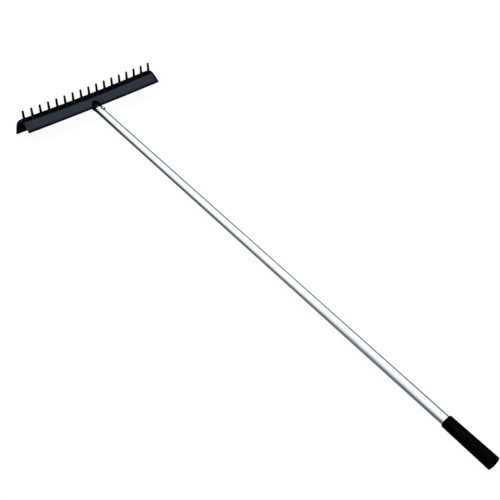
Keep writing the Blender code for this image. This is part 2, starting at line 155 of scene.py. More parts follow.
# %% Numbers in a node tree
def plug(tree, value, socket):
    """Links a number or an output to an input, or sets the input's own value."""
    if isinstance(value, Number):
        value = value.socket
    if isinstance(value, bpy.types.NodeSocket):
        tree.links.new(value, socket)
    else:
        socket.default_value = value


def set_inputs(tree, node, values):
    for key, value in values.items():
        plug(tree, value, node.inputs[key])


def add_node(tree, kind, values=None, **settings):
    node = tree.nodes.new(kind)
    for key, value in settings.items():
        setattr(node, key, value)
    set_inputs(tree, node, values or {})
    return node


def result(tree, kind, values=None, **settings):
    """The first output of a new node."""
    return add_node(tree, kind, values, **settings).outputs[0]


def sums(tree, operation, *values):
    """One Math node, as a number."""
    return Number(tree, result(tree, "ShaderNodeMath", dict(enumerate(values)),
                               operation=operation))


class Number:
    """A number in a node tree. Each sum with it writes one node."""

    def __init__(self, tree, socket):
        self.tree, self.socket = tree, socket

    def __add__(self, other):
        return sums(self.tree, "ADD", self, other)

    def __sub__(self, other):
        return sums(self.tree, "SUBTRACT", self, other)

    def __rsub__(self, other):
        return sums(self.tree, "SUBTRACT", other, self)

    def __mul__(self, other):
        return sums(self.tree, "MULTIPLY", self, other)

    def __truediv__(self, other):
        return sums(self.tree, "DIVIDE", self, other)

    def __pow__(self, other):
        return sums(self.tree, "POWER", self, other)

    def __abs__(self):
        return sums(self.tree, "ABSOLUTE", self)

    def at_least(self, low):
        return sums(self.tree, "MAXIMUM", self, low)

    def at_most(self, high):
        return sums(self.tree, "MINIMUM", self, high)

    def within(self, low, high):
        return self.at_most(high).at_least(low)

    def spread(self, low, high, start=0.3, end=0.7):
        """Low where this number is at start, high where it is at end."""
        values = {"Value": self, "From Min": start, "From Max": end, "To Min": low, "To Max": high}
        return Number(self.tree, result(self.tree, "ShaderNodeMapRange", values))


print("a number can be added, subtracted, multiplied, divided and spread")

# %% [markdown]
# A tree also keeps numbers on the points themselves: `store` writes one under
# a name and `read` finds it again further on. `new_tree` gives a tree its
# named inputs, `close_tree` ends it, and `run_tree` sets the inputs on a
# modifier, evaluates the piece and keeps the result as a plain mesh. The
# modifier could stay live, but only a mesh can have its ends closed and be
# laid down in place.

# %% Helpers for Geometry Nodes
def read(tree, name):
    """A number that is stored on each point."""
    node = add_node(tree, "GeometryNodeInputNamedAttribute", {"Name": name}, data_type="FLOAT")
    return Number(tree, node.outputs["Attribute"])


def store(tree, geometry, name, value):
    """Keeps a number on each point, under a name."""
    return result(tree, "GeometryNodeStoreNamedAttribute",
                  {"Geometry": geometry, "Name": name, "Value": value}, data_type="FLOAT")


def new_tree(name, sizes):
    """A tree with a geometry in and out, a finish, and one number for each size."""
    tree = bpy.data.node_groups.new(name, "GeometryNodeTree")
    face = tree.interface
    face.new_socket("Geometry", in_out="INPUT", socket_type="NodeSocketGeometry")
    for label, value in sizes.items():
        kind = "NodeSocketInt" if isinstance(value, int) else "NodeSocketFloat"
        face.new_socket(label, in_out="INPUT", socket_type=kind).default_value = value
    face.new_socket("Finish", in_out="INPUT", socket_type="NodeSocketMaterial")
    face.new_socket("Geometry", in_out="OUTPUT", socket_type="NodeSocketGeometry")
    inputs = tree.nodes.new("NodeGroupInput").outputs
    return tree, {socket.name: Number(tree, socket) for socket in inputs if socket.name}


def close_tree(tree, size, geometry):
    """Realize Instances and Set Material come last."""
    real = result(tree, "GeometryNodeRealizeInstances", {0: geometry})
    finished = result(tree, "GeometryNodeSetMaterial", {"Geometry": real,
                                                        "Material": size["Finish"]})
    add_node(tree, "NodeGroupOutput", {0: finished})


def run_tree(name, mesh, tree, sizes, look):
    """Runs a tree on a mesh and keeps what comes out as a plain mesh."""
    guide = new_object(name + "_rule", mesh)
    change = guide.modifiers.new(tree.name, "NODES")
    change.node_group = tree
    for item in tree.interface.items_tree:
        if item.in_out == "INPUT" and item.name in sizes:
            change[item.identifier] = sizes[item.name]
        if item.in_out == "INPUT" and item.name == "Finish":
            change[item.identifier] = look
    plain = plain_mesh(guide)
    plain.name = name
    bpy.data.objects.remove(guide, do_unlink=True)
    for stored in [item.name for item in plain.attributes
                   if not item.is_internal and not item.is_required
                   and item.name not in ("material_index", "sharp_face", "sharp_edge")]:
        plain.attributes.remove(plain.attributes[stored])
    return new_object(name, plain)


print("node helpers ready")

# %% [markdown]
# ## Finishes from nodes
#
# Every finish here is made of nodes. Each one starts from the object's own
# coordinates, so a pattern runs over the whole rake at its real scale and
# stays in place when the rake is turned. Image textures could show real wear,
# but they need files and an unwrapped mesh, and a few nodes are enough for
# plastic, metal and rubber. The helpers keep a finish short: `noise` gives a
# cloudy pattern, which a number's `spread` turns into the range that is
# wanted, and `blend_colours` mixes two colours by it.

# %% Helpers for materials
WHITE = (1.0, 1.0, 1.0, 1.0)


def new_material(name):
    made = bpy.data.materials.new(name)
    made.use_nodes = True
    return made, made.node_tree, made.node_tree.nodes["Principled BSDF"]


def object_place(tree, scale=(1, 1, 1)):
    """Object coordinates, turned straight along the handle and stretched."""
    place = add_node(tree, "ShaderNodeTexCoord").outputs["Object"]
    return result(tree, "ShaderNodeMapping", {"Vector": place, "Location": REST_SHIFT,
                                              "Rotation": (REST_TIP, 0, 0), "Scale": scale},
                  vector_type="TEXTURE")


def noise(tree, place, scale, detail=3.0, rough=0.5):
    node = add_node(tree, "ShaderNodeTexNoise", {"Vector": place, "Scale": scale,
                                                 "Detail": detail, "Roughness": rough})
    return Number(tree, node.outputs["Fac"])


def blend_colours(tree, share, first, second):
    """The first colour where the share is 0, the second where it is 1."""
    node = add_node(tree, "ShaderNodeMix", {0: share}, data_type="RGBA")
    colours = [item for item in node.inputs if item.type == "RGBA"]
    for socket, value in zip(colours, (first, second)):
        plug(tree, (*value, 1.0) if isinstance(value, tuple) else value, socket)
    return [item for item in node.outputs if item.type == "RGBA"][0]


def bump(tree, height, depth, strength):
    return result(tree, "ShaderNodeBump", {"Strength": strength, "Distance": depth,
                                           "Height": height})


print("material helpers ready")

# %% [markdown]
# ## Black moulded plastic
#
# The head is a black moulding with a satin gloss, and it looks slate blue
# where it mirrors the light above it. A real moulding is never one flat colour:
# it has a fine grain from its steel mould, slow waves in the gloss where the
# wall cooled unevenly, and a light bloom of dust. A slate blue paint would look
# right from one side only, so the plastic itself is nearly black and the blue
# is a tint of its reflection. The grain is a small bump, and the waves and the
# dust go to the roughness.

# %% Black plastic of the head
def make_plastic():
    look, tree, shader = new_material("moulded_plastic")
    place = object_place(tree)
    waves = noise(tree, place, scale=22, detail=2.0)
    grain = noise(tree, place, scale=1500, detail=2.0, rough=0.6)
    dust = noise(tree, place, scale=160, detail=5.0, rough=0.65)
    set_inputs(tree, shader, {
        "Base Color": blend_colours(tree, dust.spread(0.0, 1.0, start=0.45, end=0.8),
                                    (0.0006, 0.0007, 0.0011), (0.0018, 0.0019, 0.0025)),
        "Roughness": waves.spread(0.21, 0.27) + dust.spread(-0.01, 0.03),
        "IOR": 1.31,
        "Specular Tint": (0.48, 0.62, 0.93, 1.0),
        "Normal": bump(tree, grain, depth=0.02 * MM, strength=0.35)})
    return look


plastic = make_plastic()
print("finish:", plastic.name)

# %% [markdown]
# ## Drawn aluminium
#
# The tube was pulled through a die, which leaves very fine lines along it and
# a gloss that smears what it mirrors. An anisotropic shader could smear it too,
# but it needs a direction stored on the mesh. Here the noise is stretched 60
# times along the tube until it makes lines, and the lines go to the colour, the
# roughness and a shallow bump. A second, wider noise clouds the gloss, as
# handling does.

# %% Drawn aluminium of the tube
LINE_STRETCH = 60


def make_aluminium():
    look, tree, shader = new_material("drawn_aluminium")
    lines = noise(tree, object_place(tree, (1, LINE_STRETCH, 1)), scale=2600, rough=0.6)
    cloud = noise(tree, object_place(tree), scale=28)
    set_inputs(tree, shader, {
        "Base Color": blend_colours(tree, lines.spread(0.0, 1.0),
                                    (0.80, 0.87, 0.885), (0.86, 0.925, 0.94)),
        "Roughness": lines.spread(0.18, 0.24) + cloud.spread(-0.02, 0.02),
        "Metallic": 1.0,
        "Normal": bump(tree, lines, depth=0.01 * MM, strength=0.3)})
    return look


aluminium = make_aluminium()
print("finish:", aluminium.name)

# %% [markdown]
# ## Metals of the rivet
#
# The rivet is soft aluminium, dulled and marked by the tool that set it, and
# its pin is steel, darker and rougher. From a few steps away the rivet is a
# small ring with a dark rim, where its dome turns down into shade. The rim
# could be a ring of its own, but that would be a loose sliver on a small dome.
# So the shade is painted: the colour darkens with the distance from the
# rivet's own axis.

# %% Metals of the rivet
# A painted shade on the dome's rim: where it starts, where it ends, and its colour.
SHADED_RIM_START = 4.6 * MM
SHADED_RIM_END = 5.8 * MM
PAINTED_RIM_SHADE = (0.13, 0.14, 0.15)


def make_rivet_metal(name, dark, light, smooth, rough, rim=False):
    look, tree, shader = new_material(name)
    place = object_place(tree)
    marks = noise(tree, place, scale=900, detail=4.0, rough=0.65)
    tint = blend_colours(tree, marks.spread(0.0, 1.0), dark, light)
    # rim=True paints a shade on the dome: its colour darkens towards the rim.
    if rim:
        # How far a point is from the rivet's own axis.
        own = result(tree, "ShaderNodeMapping",
                     {"Vector": place, "Location": RIVET_PLACE.to_translation(),
                      "Rotation": RIVET_PLACE.to_euler()}, vector_type="TEXTURE")
        flat = result(tree, "ShaderNodeVectorMath", {0: own, 1: (1, 1, 0)}, operation="MULTIPLY")
        length = add_node(tree, "ShaderNodeVectorMath", {0: flat}, operation="LENGTH")
        ring = Number(tree, length.outputs["Value"]).spread(0.0, 1.0, SHADED_RIM_START, SHADED_RIM_END)
        # The painted shade: the rim of the dome takes a dark colour.
        tint = blend_colours(tree, ring, tint, PAINTED_RIM_SHADE)
    set_inputs(tree, shader, {"Base Color": tint, "Roughness": marks.spread(smooth, rough),
                              "Metallic": 1.0,
                              "Normal": bump(tree, marks, depth=0.03 * MM, strength=0.4)})
    return look


# Only the rivet's dome gets the painted shade on its rim.
rivet_metal = make_rivet_metal("rivet_metal", dark=(0.71, 0.72, 0.73), light=(0.81, 0.82, 0.83),
                               smooth=0.35, rough=0.45, rim=True)
steel = make_rivet_metal("pin_steel", dark=(0.56, 0.56, 0.57), light=(0.70, 0.70, 0.71),
                         smooth=0.46, rough=0.6)
print("finishes:", rivet_metal.name, steel.name)

# %% [markdown]
# ## Black rubber
#
# The grip is a matt black sleeve. Rubber takes in almost all light, so its
# colour is close to black and its reflection is weak and broad. What makes it
# look like rubber is the fine pebbled skin that its mould leaves, and the slow
# patches that hands have polished. The skin is a bump, because it is far too
# fine to model, and the patches are a wider noise in the colour and the
# roughness.

# %% Black rubber of the grip
def make_rubber():
    look, tree, shader = new_material("grip_rubber")
    place = object_place(tree)
    grain = noise(tree, place, scale=950, rough=0.6)
    handled = noise(tree, place, scale=35)
    set_inputs(tree, shader, {
        "Base Color": blend_colours(tree, handled.spread(0.0, 1.0),
                                    (0.0003, 0.0003, 0.0008), (0.0009, 0.0008, 0.0018)),
        "Roughness": handled.spread(0.46, 0.62),
        "IOR": 1.45,
        "Specular IOR Level": 0.033,
        "Specular Tint": (0.92, 0.88, 1.0, 1.0),
        "Normal": bump(tree, grain, depth=0.06 * MM, strength=0.5)})
    return look


rubber = make_rubber()
print("finish:", rubber.name)

# %% [markdown]
# ## The hood
#
# Seen from its end the hood is one curved wall: a straight slope on the
# handle's side, a round crest, and a steeper wall that hangs lower on the far
# side. The same section runs the whole way along, but the lip and the crest
# bow a little, the crest is lower in the middle, and the ends splay towards
# the foot. That is a rule, so the section is drawn once as a loop of points
# that carry stored numbers, and a tree sweeps it along X. Where the tube goes
# in, a smooth maximum lifts the slope over the round socket, which gives the
# soft fillet that a moulding has. A bent plane with a Solidify modifier would
# be quicker, but its rims would be square.

# %% Sizes of the hood
TOOTH_COUNT = 17
PITCH = 25.0 * MM
WALL = 3.0 * MM
CREST_RADIUS = 31.2 * MM
CREST_OFFSET = 4.5 * MM
CREST_Z = 23.4 * MM
CREST_DIP = 1.9 * MM
LIP_Y = -41.1 * MM
LIP_Z = 4.5 * MM
LIP_TRIM = 1.9 * MM
FAR_SLOPE = math.radians(36.0)
FAR_FLAT = 4.0 * MM
FAR_RADIUS = 59.0 * MM
FAR_WALL_SLOPE = math.radians(77.5)
FOOT_Z = -47.5 * MM
END_X = BOW_SPAN + 10.45 * MM
END_DRAFT = 0.097
LIP_CORNER = 3.0 * MM
FOOT_CORNER = 4.5 * MM
EDGE_ROUND = 0.8 * MM
ROLL_WIDTH = 9.0 * MM
ROLL_DROP = 2.0 * MM
FOOT_ROUND = 0.5 * MM
SKIN = 0.06 * MM
MOUTH_Y = -43.0 * MM
SOCKET_END_Y = 12.0 * MM
MOUTH_RADIUS = 13.5 * MM
MOUTH_RISE = 3.0 * MM
SOCKET_END_RADIUS = 14.9 * MM


def arc(centre, radius, start, end, steps):
    """Points about a centre. Angles run from straight up towards +Y."""
    turns = [start + (end - start) * step / steps for step in range(steps + 1)]
    return [(centre[0] + radius * math.sin(turn), centre[1] + radius * math.cos(turn))
            for turn in turns]


def slope_angle():
    """The slope of a straight line from the lip that just touches the crest."""
    run = -CREST_OFFSET - LIP_Y
    rise = CREST_Z - CREST_RADIUS - LIP_Z
    return math.asin(CREST_RADIUS / math.hypot(run, rise)) + math.atan2(rise, run)


NEAR_SLOPE = slope_angle()
CREST_CENTRE = (-CREST_OFFSET, CREST_Z - CREST_RADIUS)
leave = Vector(arc(CREST_CENTRE, CREST_RADIUS, FAR_SLOPE, FAR_SLOPE, 1)[0])
bend = leave + Vector((math.cos(FAR_SLOPE), -math.sin(FAR_SLOPE))) * FAR_FLAT
FAR_CENTRE = bend - Vector((math.sin(FAR_SLOPE), math.cos(FAR_SLOPE))) * FAR_RADIUS
FAR_END = Vector(arc(FAR_CENTRE, FAR_RADIUS, FAR_WALL_SLOPE, FAR_WALL_SLOPE, 1)[0])
FOOT_Y = FAR_END.x + (FAR_END.y - FOOT_Z) / math.tan(FAR_WALL_SLOPE) + CREST_BOW
print("near slope:", round(math.degrees(NEAR_SLOPE), 2), "degrees; foot at y",
      round(FOOT_Y / MM, 2), "mm")

# %% [markdown]
# The loop starts at the lip, follows the outer face to the foot, turns there
# and comes back along the inner face. Both faces come from one function with a
# different inset, so the wall is equally thick all along. The outer face turns
# down over its last 9 mm before the lip, which gives the dark line along the
# hood's front edge. A bevel could round the rim, but it couldn't reach that
# far back in a wall this thin.

# %% Draw the section loop
SLOPE_STEPS = 20
CREST_STEPS = 26
FAR_STEPS = 14
FOOT_STEPS = 14
CORNER_STEPS = 4
CORNER_REACH = 1.15


def between(start, end, steps):
    start, end = Vector(start), Vector(end)
    return [tuple(start.lerp(end, step / steps)) for step in range(steps + 1)]


def foot_run(end):
    """How far the far wall goes on until it meets the tipped floor."""
    fall = math.tan(REST_TIP)
    level = FOOT_Z - (end[0] + CREST_BOW - FOOT_Y) * fall
    return (end[1] - level) / (math.tan(FAR_WALL_SLOPE) - fall)


def wall_curve(inset):
    """One face of the wall from the lip to the foot: points (y, z)."""
    crest = arc(CREST_CENTRE, CREST_RADIUS - inset, -NEAR_SLOPE, FAR_SLOPE, CREST_STEPS)
    lip_y = LIP_Y + LIP_TRIM
    lip = (lip_y, crest[0][1] - (crest[0][0] - lip_y) * math.tan(NEAR_SLOPE))
    far = arc(FAR_CENTRE, FAR_RADIUS - inset, FAR_SLOPE, FAR_WALL_SLOPE, FAR_STEPS)
    run = foot_run(far[-1])
    foot = (far[-1][0] + run, far[-1][1] - run * math.tan(FAR_WALL_SLOPE))
    near = between(lip, crest[0], SLOPE_STEPS)
    return near[:-1] + crest + far + between(far[-1], foot, FOOT_STEPS)[1:]


def round_off(before, corner, after, size, steps=CORNER_STEPS):
    """Points of a soft curve in the place of a corner."""
    corner = Vector(corner)
    a = corner + (Vector(before) - corner).normalized() * size
    b = corner + (Vector(after) - corner).normalized() * size
    spots = [a.lerp(corner, t / steps).lerp(corner.lerp(b, t / steps), t / steps)
             for t in range(steps + 1)]
    return [tuple(spot) for spot in spots]


def keep_clear(points, edge, size):
    """Leaves out points that a rounded corner takes the place of."""
    reach = size * CORNER_REACH
    return [p for p in points if math.hypot(p[0] - edge[0], p[1] - edge[1]) > reach]


def roll_lip(points):
    """The outer face turns down over its last stretch before the lip."""
    made = []
    for y, z in points:
        apart = (y - points[0][0]) / math.cos(NEAR_SLOPE)
        short = max(1 - apart / ROLL_WIDTH, 0.0)
        made.append((y, z - ROLL_DROP * short ** 2))
    return made


outer = roll_lip(wall_curve(SKIN))
inner = wall_curve(WALL)
loop = round_off(inner[0], outer[0], outer[1], EDGE_ROUND)
loop += keep_clear(keep_clear(outer, outer[0], EDGE_ROUND), outer[-1], FOOT_ROUND)
outer_rows = len(loop)
loop += round_off(outer[-2], outer[-1], inner[-1], FOOT_ROUND)
foot_turn = len(loop)
loop += round_off(outer[-1], inner[-1], inner[-2], FOOT_ROUND)
loop += keep_clear(keep_clear(inner, inner[0], EDGE_ROUND), inner[-1], FOOT_ROUND)[::-1]
loop += round_off(inner[1], inner[0], outer[0], EDGE_ROUND)
print("section loop:", len(loop), "points")

# %% [markdown]
# A plain sweep can't bow, dip and splay, so each point of the loop carries
# numbers that say how much of each rule it feels. `share` runs from 0 at the
# lip to 1 at the crest, `trim` rounds the lower corners of the ends, `out_y`
# and `out_z` point away from the wall, `roll_y` and `roll_z` say where the
# outer face moves near an end, `near` marks what the socket may lift, and
# `foot` marks what keeps to the floor. Weights could be painted by hand, but
# stored numbers follow the sizes when these change.

# %% Store the numbers that the rule needs
FOOT_ZONE_Z = -30 * MM
SOCKET_REACH_Y = 4 * MM
LIP_TAKES_OVER = 0.8


def share_of(value):
    """Keeps a share between 0 and 1."""
    return min(max(value, 0.0), 1.0)


def corner_trim(distance, size):
    """How much a round corner takes off at a distance from its edge."""
    if distance >= size:
        return 0.0
    return size - math.sqrt(max(size ** 2 - (size - distance) ** 2, 0.0))


def depth_in_wall(spot):
    """How far a point lies under the outer face, and which way inward is there."""
    found = []
    for start, end in zip(outer, outer[1:]):
        start, run = Vector(start), Vector(end) - Vector(start)
        part = share_of((spot - start).dot(run) / run.length_squared)
        away = (spot - start - run * part).length
        found.append((away, Vector((run.y, -run.x)).normalized()))
    return min(found, key=lambda item: item[0])


def point_numbers(step, lip_y, foot_z):
    """All that one point of the loop stores."""
    y, z = loop[step]
    run = (Vector(loop[(step + 1) % len(loop)]) - Vector(loop[step - 1])).normalized()
    crest_y = -CREST_OFFSET - CREST_RADIUS * math.sin(NEAR_SLOPE)
    if y < 0:
        trim, foot = corner_trim(y - lip_y, LIP_CORNER), 0.0
        near_lip = max(1 - (y - lip_y) / ROLL_WIDTH, 0.0)
    else:
        trim, near_lip = corner_trim(z - foot_z, FOOT_CORNER), 0.0
        foot = share_of((FOOT_ZONE_Z - z) / (FOOT_ZONE_Z - FOOT_Z))
    depth, inward = depth_in_wall(Vector((y, z)))
    # The lip's own roll takes over from the one at the ends.
    part = max(1 - depth / WALL, 0.0) * (1 - LIP_TAKES_OVER * near_lip ** 2)
    # At the foot the move in keeps to the floor, which falls toward +Y.
    roll_z = part * (inward.y * (1 - foot) ** 2 - inward.x * foot * math.tan(REST_TIP))
    return {"sec_y": y, "sec_z": z, "out_y": -run.y, "out_z": run.x, "trim": trim, "foot": foot,
            "share": share_of((y - (LIP_Y + LIP_TRIM)) / (crest_y - LIP_Y - LIP_TRIM)),
            "roll_y": inward.x * part, "roll_z": roll_z,
            "near": 1.0 if step < outer_rows and y < SOCKET_REACH_Y else 0.0}


def section_mesh():
    mesh = bpy.data.meshes.new("hood_section")
    count = len(loop)
    edges = [(step, (step + 1) % count) for step in range(count)]
    mesh.from_pydata([(0.0, y, z) for y, z in loop], edges, [])
    lip_y = min(y for y, z in loop)
    foot_z = min(z for y, z in loop)
    rows = [point_numbers(step, lip_y, foot_z) for step in range(count)]
    for name in rows[0]:
        column = mesh.attributes.new(name, "FLOAT", "POINT")
        column.data.foreach_set("value", [row[name] for row in rows])
    return mesh


section = section_mesh()
print("stored on each point:", ", ".join(item.name for item in section.attributes
                                         if not item.is_internal))

# %% [markdown]
# The tree turns the loop into a curve and sweeps it along a line. The sweep
# only makes the faces: each point's place is then set from its stored numbers
# and from how far along the line it is. The last steps at either end draw the
# loop in a little, which rounds the rim. The stations crowd together in the
# middle, where the socket needs them, and at the ends, where the face rolls.

# %% Tree of the hood
BULGE_SKIN = 0.12 * MM
HOOD_SIZES = {"Half Length": END_X - SKIN, "End Draft": END_DRAFT, "Bow Span": BOW_SPAN,
              "Crest Bow": CREST_BOW, "Lip Bow": LIP_BOW, "Crest Dip": CREST_DIP,
              "Crest Height": CREST_Z, "Lip Height": LIP_Z, "Rim Round": 0.45 * MM,
              "Socket Start": MOUTH_Y, "Socket Length": SOCKET_END_Y - MOUTH_Y,
              "Socket Radius": MOUTH_RADIUS + BULGE_SKIN, "Socket Rise": MOUTH_RISE,
              "Socket Growth": SOCKET_END_RADIUS - MOUTH_RADIUS, "Fillet": 3.4 * MM,
              "Floor Fall": math.tan(REST_TIP), "End Roll": 1.5 * MM, "Roll Width": 10.5 * MM,
              "Stations": 240, "Rim Steps": 4}
# A step is 0.3 of an even one in the middle, and 0.35 of one at either end.
MIDDLE_STEP = 0.3
STEP_GROWTH = 1.725
END_CROWDING = 1.025


def hood_tree():
    tree, size = new_tree("Sweep a hood", HOOD_SIZES)
    line = result(tree, "GeometryNodeMeshLine", {"Count": size["Stations"], "Offset": (MM, 0, 0)})
    index = Number(tree, result(tree, "GeometryNodeInputIndex"))
    last, steps = size["Stations"] - 1, size["Rim Steps"]
    # How many rim steps a station is from its end, from 0 at the end itself.
    rim = (index.at_most(last - index) / steps).at_most(1.0)
    quarter = rim * (math.pi / 2)
    back = size["Rim Round"] * (1.0 - sums(tree, "COSINE", quarter))
    draw_in = size["Rim Round"] * (1.0 - sums(tree, "SINE", quarter))
    along = ((index - steps) / (last - steps * 2) * 2 - 1).within(-1.0, 1.0)
    # The stations crowd at the socket in the middle and at the rolled ends.
    square = along * along
    along = along * (square * (STEP_GROWTH - square * END_CROWDING) + MIDDLE_STEP)
    for name, value in (("along", along), ("back", back), ("draw_in", draw_in)):
        line = store(tree, line, name, value)
    rail = result(tree, "GeometryNodeMeshToCurve", {0: line})
    ring = result(tree, "GeometryNodeMeshToCurve", {0: size["Geometry"]})
    sweep = result(tree, "GeometryNodeCurveToMesh", {"Curve": rail, "Profile Curve": ring})
    move = result(tree, "GeometryNodeSetPosition", {"Geometry": sweep,
                                                    "Position": hood_rule(tree, size)})
    close_tree(tree, size, move)
    return tree


print("the hood's tree has", len(HOOD_SIZES), "named sizes")

# %% [markdown]
# The rule gives the place of one point. It sets the point on its station,
# rolls it in near an end, bows and dips it, keeps the foot on the floor, and
# last lifts it over the socket. A Boolean join would leave a hard line where
# the socket meets the slope, while a smooth maximum of the two heights gives
# the soft fillet of a moulding.

# %% Rule of the hood
AT_END = 0.99999
BESIDE_DROP = 10 * MM


def hood_rule(tree, size):
    """The place of a point, from its station and its place in the section."""
    along, draw_in, share = [read(tree, name) for name in ("along", "draw_in", "share")]
    y = read(tree, "sec_y") - read(tree, "out_y") * draw_in
    z = read(tree, "sec_z") - read(tree, "out_z") * draw_in
    half = size["Half Length"] - size["End Draft"] * z - read(tree, "trim") - size["Rim Round"]
    x = along * half
    # The outer face rolls in a little before each end.
    short = (1.0 - (half - abs(x)) / size["Roll Width"]).at_least(0.0)
    roll = size["End Roll"] * short ** 2
    y = y + read(tree, "roll_y") * roll
    z = z + read(tree, "roll_z") * roll
    # The last stations stand a little further out, so that the rim is round.
    at_end = sums(tree, "GREATER_THAN", abs(along), AT_END)
    x = x + (size["Rim Round"] - read(tree, "back")) * at_end * sums(tree, "SIGN", along)
    # The whole section bows toward +Y at the ends, and the crest dips in the middle.
    bowed = abs(x / size["Bow Span"]) ** 2
    gain = size["Crest Bow"] - size["Lip Bow"]
    shift = (size["Lip Bow"] + gain * share) * bowed + gain * (1.0 - share)
    y = y + shift
    rise = (z - size["Lip Height"]) / (size["Crest Height"] - size["Lip Height"])
    z = z - size["Crest Dip"] * rise.within(0.0, 1.0) * (1.0 - bowed)
    # The foot keeps to the floor, which falls a little toward +Y.
    z = z + (size["Crest Bow"] - shift) * size["Floor Fall"] * read(tree, "foot")
    # The socket's round top is joined to the slope by a fillet. Beside the
    # socket its top drops away, so that nothing is lifted there.
    run = ((y - size["Socket Start"]) / size["Socket Length"]).within(0.0, 1.0)
    radius = size["Socket Radius"] + size["Socket Growth"] * run
    beside = sums(tree, "GREATER_THAN", abs(x), radius)
    centre = size["Socket Rise"] * (1.0 - run) - beside * BESIDE_DROP
    top = sums(tree, "SQRT", (radius * radius - x * x).at_least(0.0)) + centre
    joined = sums(tree, "SMOOTH_MAX", z, top, size["Fillet"])
    z = z + (joined - z) * read(tree, "near")
    return result(tree, "ShaderNodeCombineXYZ", {"X": x, "Y": y, "Z": z})


print("the rule is written")

# %% [markdown]
# The sweep leaves both ends open. One flat face wouldn't do, because the ring
# at an end is bowed. The gap between its outer and its inner chain is closed
# like a zip instead: each step adds the shorter of the two next edges. Then the
# hood is laid down at rest and takes the place of the CAD's head.

# %% Make the hood
def close_ends(piece, count, turn):
    """Fills both rims between the outer chain of points and the inner one."""
    bm = bmesh.new()
    bm.from_mesh(piece.data)
    bm.verts.ensure_lookup_table()
    for start in (0, len(bm.verts) - count):
        ring = [bm.verts[start + step] for step in range(count)]
        first, second = ring[:turn], ring[turn:][::-1]
        a = b = 0
        while a < len(first) - 1 or b < len(second) - 1:
            far_a = far_b = math.inf
            if a < len(first) - 1:
                far_a = (first[a + 1].co - second[b].co).length
            if b < len(second) - 1:
                far_b = (second[b + 1].co - first[a].co).length
            if far_a <= far_b:
                bm.faces.new((first[a], first[a + 1], second[b]))
                a += 1
            else:
                bm.faces.new((first[a], second[b + 1], second[b]))
                b += 1
    bm.to_mesh(piece.data)
    bm.free()


hood = run_tree("hood", section, hood_tree(), HOOD_SIZES, plastic)
close_ends(hood, len(loop), foot_turn)
lay_down(hood)
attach(hood, "root")
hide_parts("head")

# %% [markdown]
# ## The teeth
#
# Seventeen pegs stand in a row along the crest, each with a rounded tip and a
# root that flares into the wall. They repeat, so a tree makes one profile,
# turns it about its own axis and sets it out along the row. The foot of every
# tooth then follows the crest's curve under it, so no flare hangs in the air
# on the low side.

# %% Profile of one tooth
TIP_Z = 51.0 * MM
TIP_RADIUS = 3.0 * MM
TIP_DOME = 2.4 * MM
ROOT_RADIUS = 3.7 * MM
FLARE_RADIUS = 6.3 * MM
FLARE_HEIGHT = 2.6 * MM
FLARE_SINK = 0.25 * MM
ROOT_DEPTH = 1.6 * MM
ROOT_EDGE_DEPTH = 1.2 * MM
ROOT_FLAT = 0.55
PART_STEPS = 8


def tooth_profile():
    """Rows of (radius, height over the wall, share of the peg, wall share)."""
    rows = [(0.0, -ROOT_DEPTH, 0.0, 1.0), (FLARE_RADIUS * ROOT_FLAT, -ROOT_DEPTH, 0.0, 1.0),
            (FLARE_RADIUS, -ROOT_EDGE_DEPTH, 0.0, 1.0)]
    turns = [math.pi / 2 * step / PART_STEPS for step in range(PART_STEPS + 1)]
    for step, turn in enumerate(turns):
        radius = FLARE_RADIUS - (FLARE_RADIUS - ROOT_RADIUS) * math.sin(turn)
        height = -FLARE_SINK + (FLARE_HEIGHT + FLARE_SINK) * (1 - math.cos(turn))
        rows.append((radius, height, 0.0, 1.0 - step / PART_STEPS))
    for step in range(1, PART_STEPS + 1):
        share = step / PART_STEPS
        rows.append((ROOT_RADIUS + (TIP_RADIUS - ROOT_RADIUS) * share, FLARE_HEIGHT, share, 0.0))
    for turn in turns[1:-1]:
        rows.append((TIP_RADIUS * math.cos(turn), FLARE_HEIGHT + TIP_DOME * math.sin(turn),
                     1.0, 0.0))
    rows.append((0.0, FLARE_HEIGHT + TIP_DOME, 1.0, 0.0))
    return rows


def profile_mesh(name, rows, names):
    """A line of points, each with its row of stored numbers."""
    mesh = bpy.data.meshes.new(name)
    edges = [(step, step + 1) for step in range(len(rows) - 1)]
    mesh.from_pydata([(0.0, 0.0, MM * step) for step in range(len(rows))], edges, [])
    for column, stored in enumerate(names):
        values = [row[column] for row in rows]
        mesh.attributes.new(stored, "FLOAT", "POINT").data.foreach_set("value", values)
    return mesh


tooth_line = profile_mesh("tooth_profile", tooth_profile(), ("wide", "rise", "peg", "wall"))
print("tooth profile:", len(tooth_line.vertices), "points")

# %% [markdown]
# The profile is turned round a circle to make one peg, and the peg is copied
# to 17 points. Each copy keeps its own place on the row as a stored number,
# so once the copies are real meshes every point can work out how high the
# wall stands under it. A plain Array would leave all the roots alike.

# %% Tree of the teeth
TEETH_SIZES = {"Teeth": TOOTH_COUNT, "Sides": 32, "Pitch": PITCH, "Bow Span": BOW_SPAN,
               "Crest Bow": CREST_BOW, "Crest Dip": CREST_DIP, "Crest Radius": CREST_RADIUS,
               "Crest Offset": CREST_OFFSET, "Crest Height": CREST_Z,
               "Peg Top": TIP_Z - TIP_DOME, "Flare Height": FLARE_HEIGHT}


def turned_peg(tree, size):
    """Sweeps the profile round a ring, and gives each point its turn."""
    ring = result(tree, "GeometryNodeCurvePrimitiveCircle", {"Resolution": size["Sides"]})
    index = Number(tree, tree.nodes.new("GeometryNodeSplineParameter").outputs["Index"])
    ring = store(tree, ring, "turn", index / size["Sides"] * TURN)
    line = result(tree, "GeometryNodeMeshToCurve", {0: size["Geometry"]})
    return result(tree, "GeometryNodeCurveToMesh", {"Curve": ring, "Profile Curve": line})


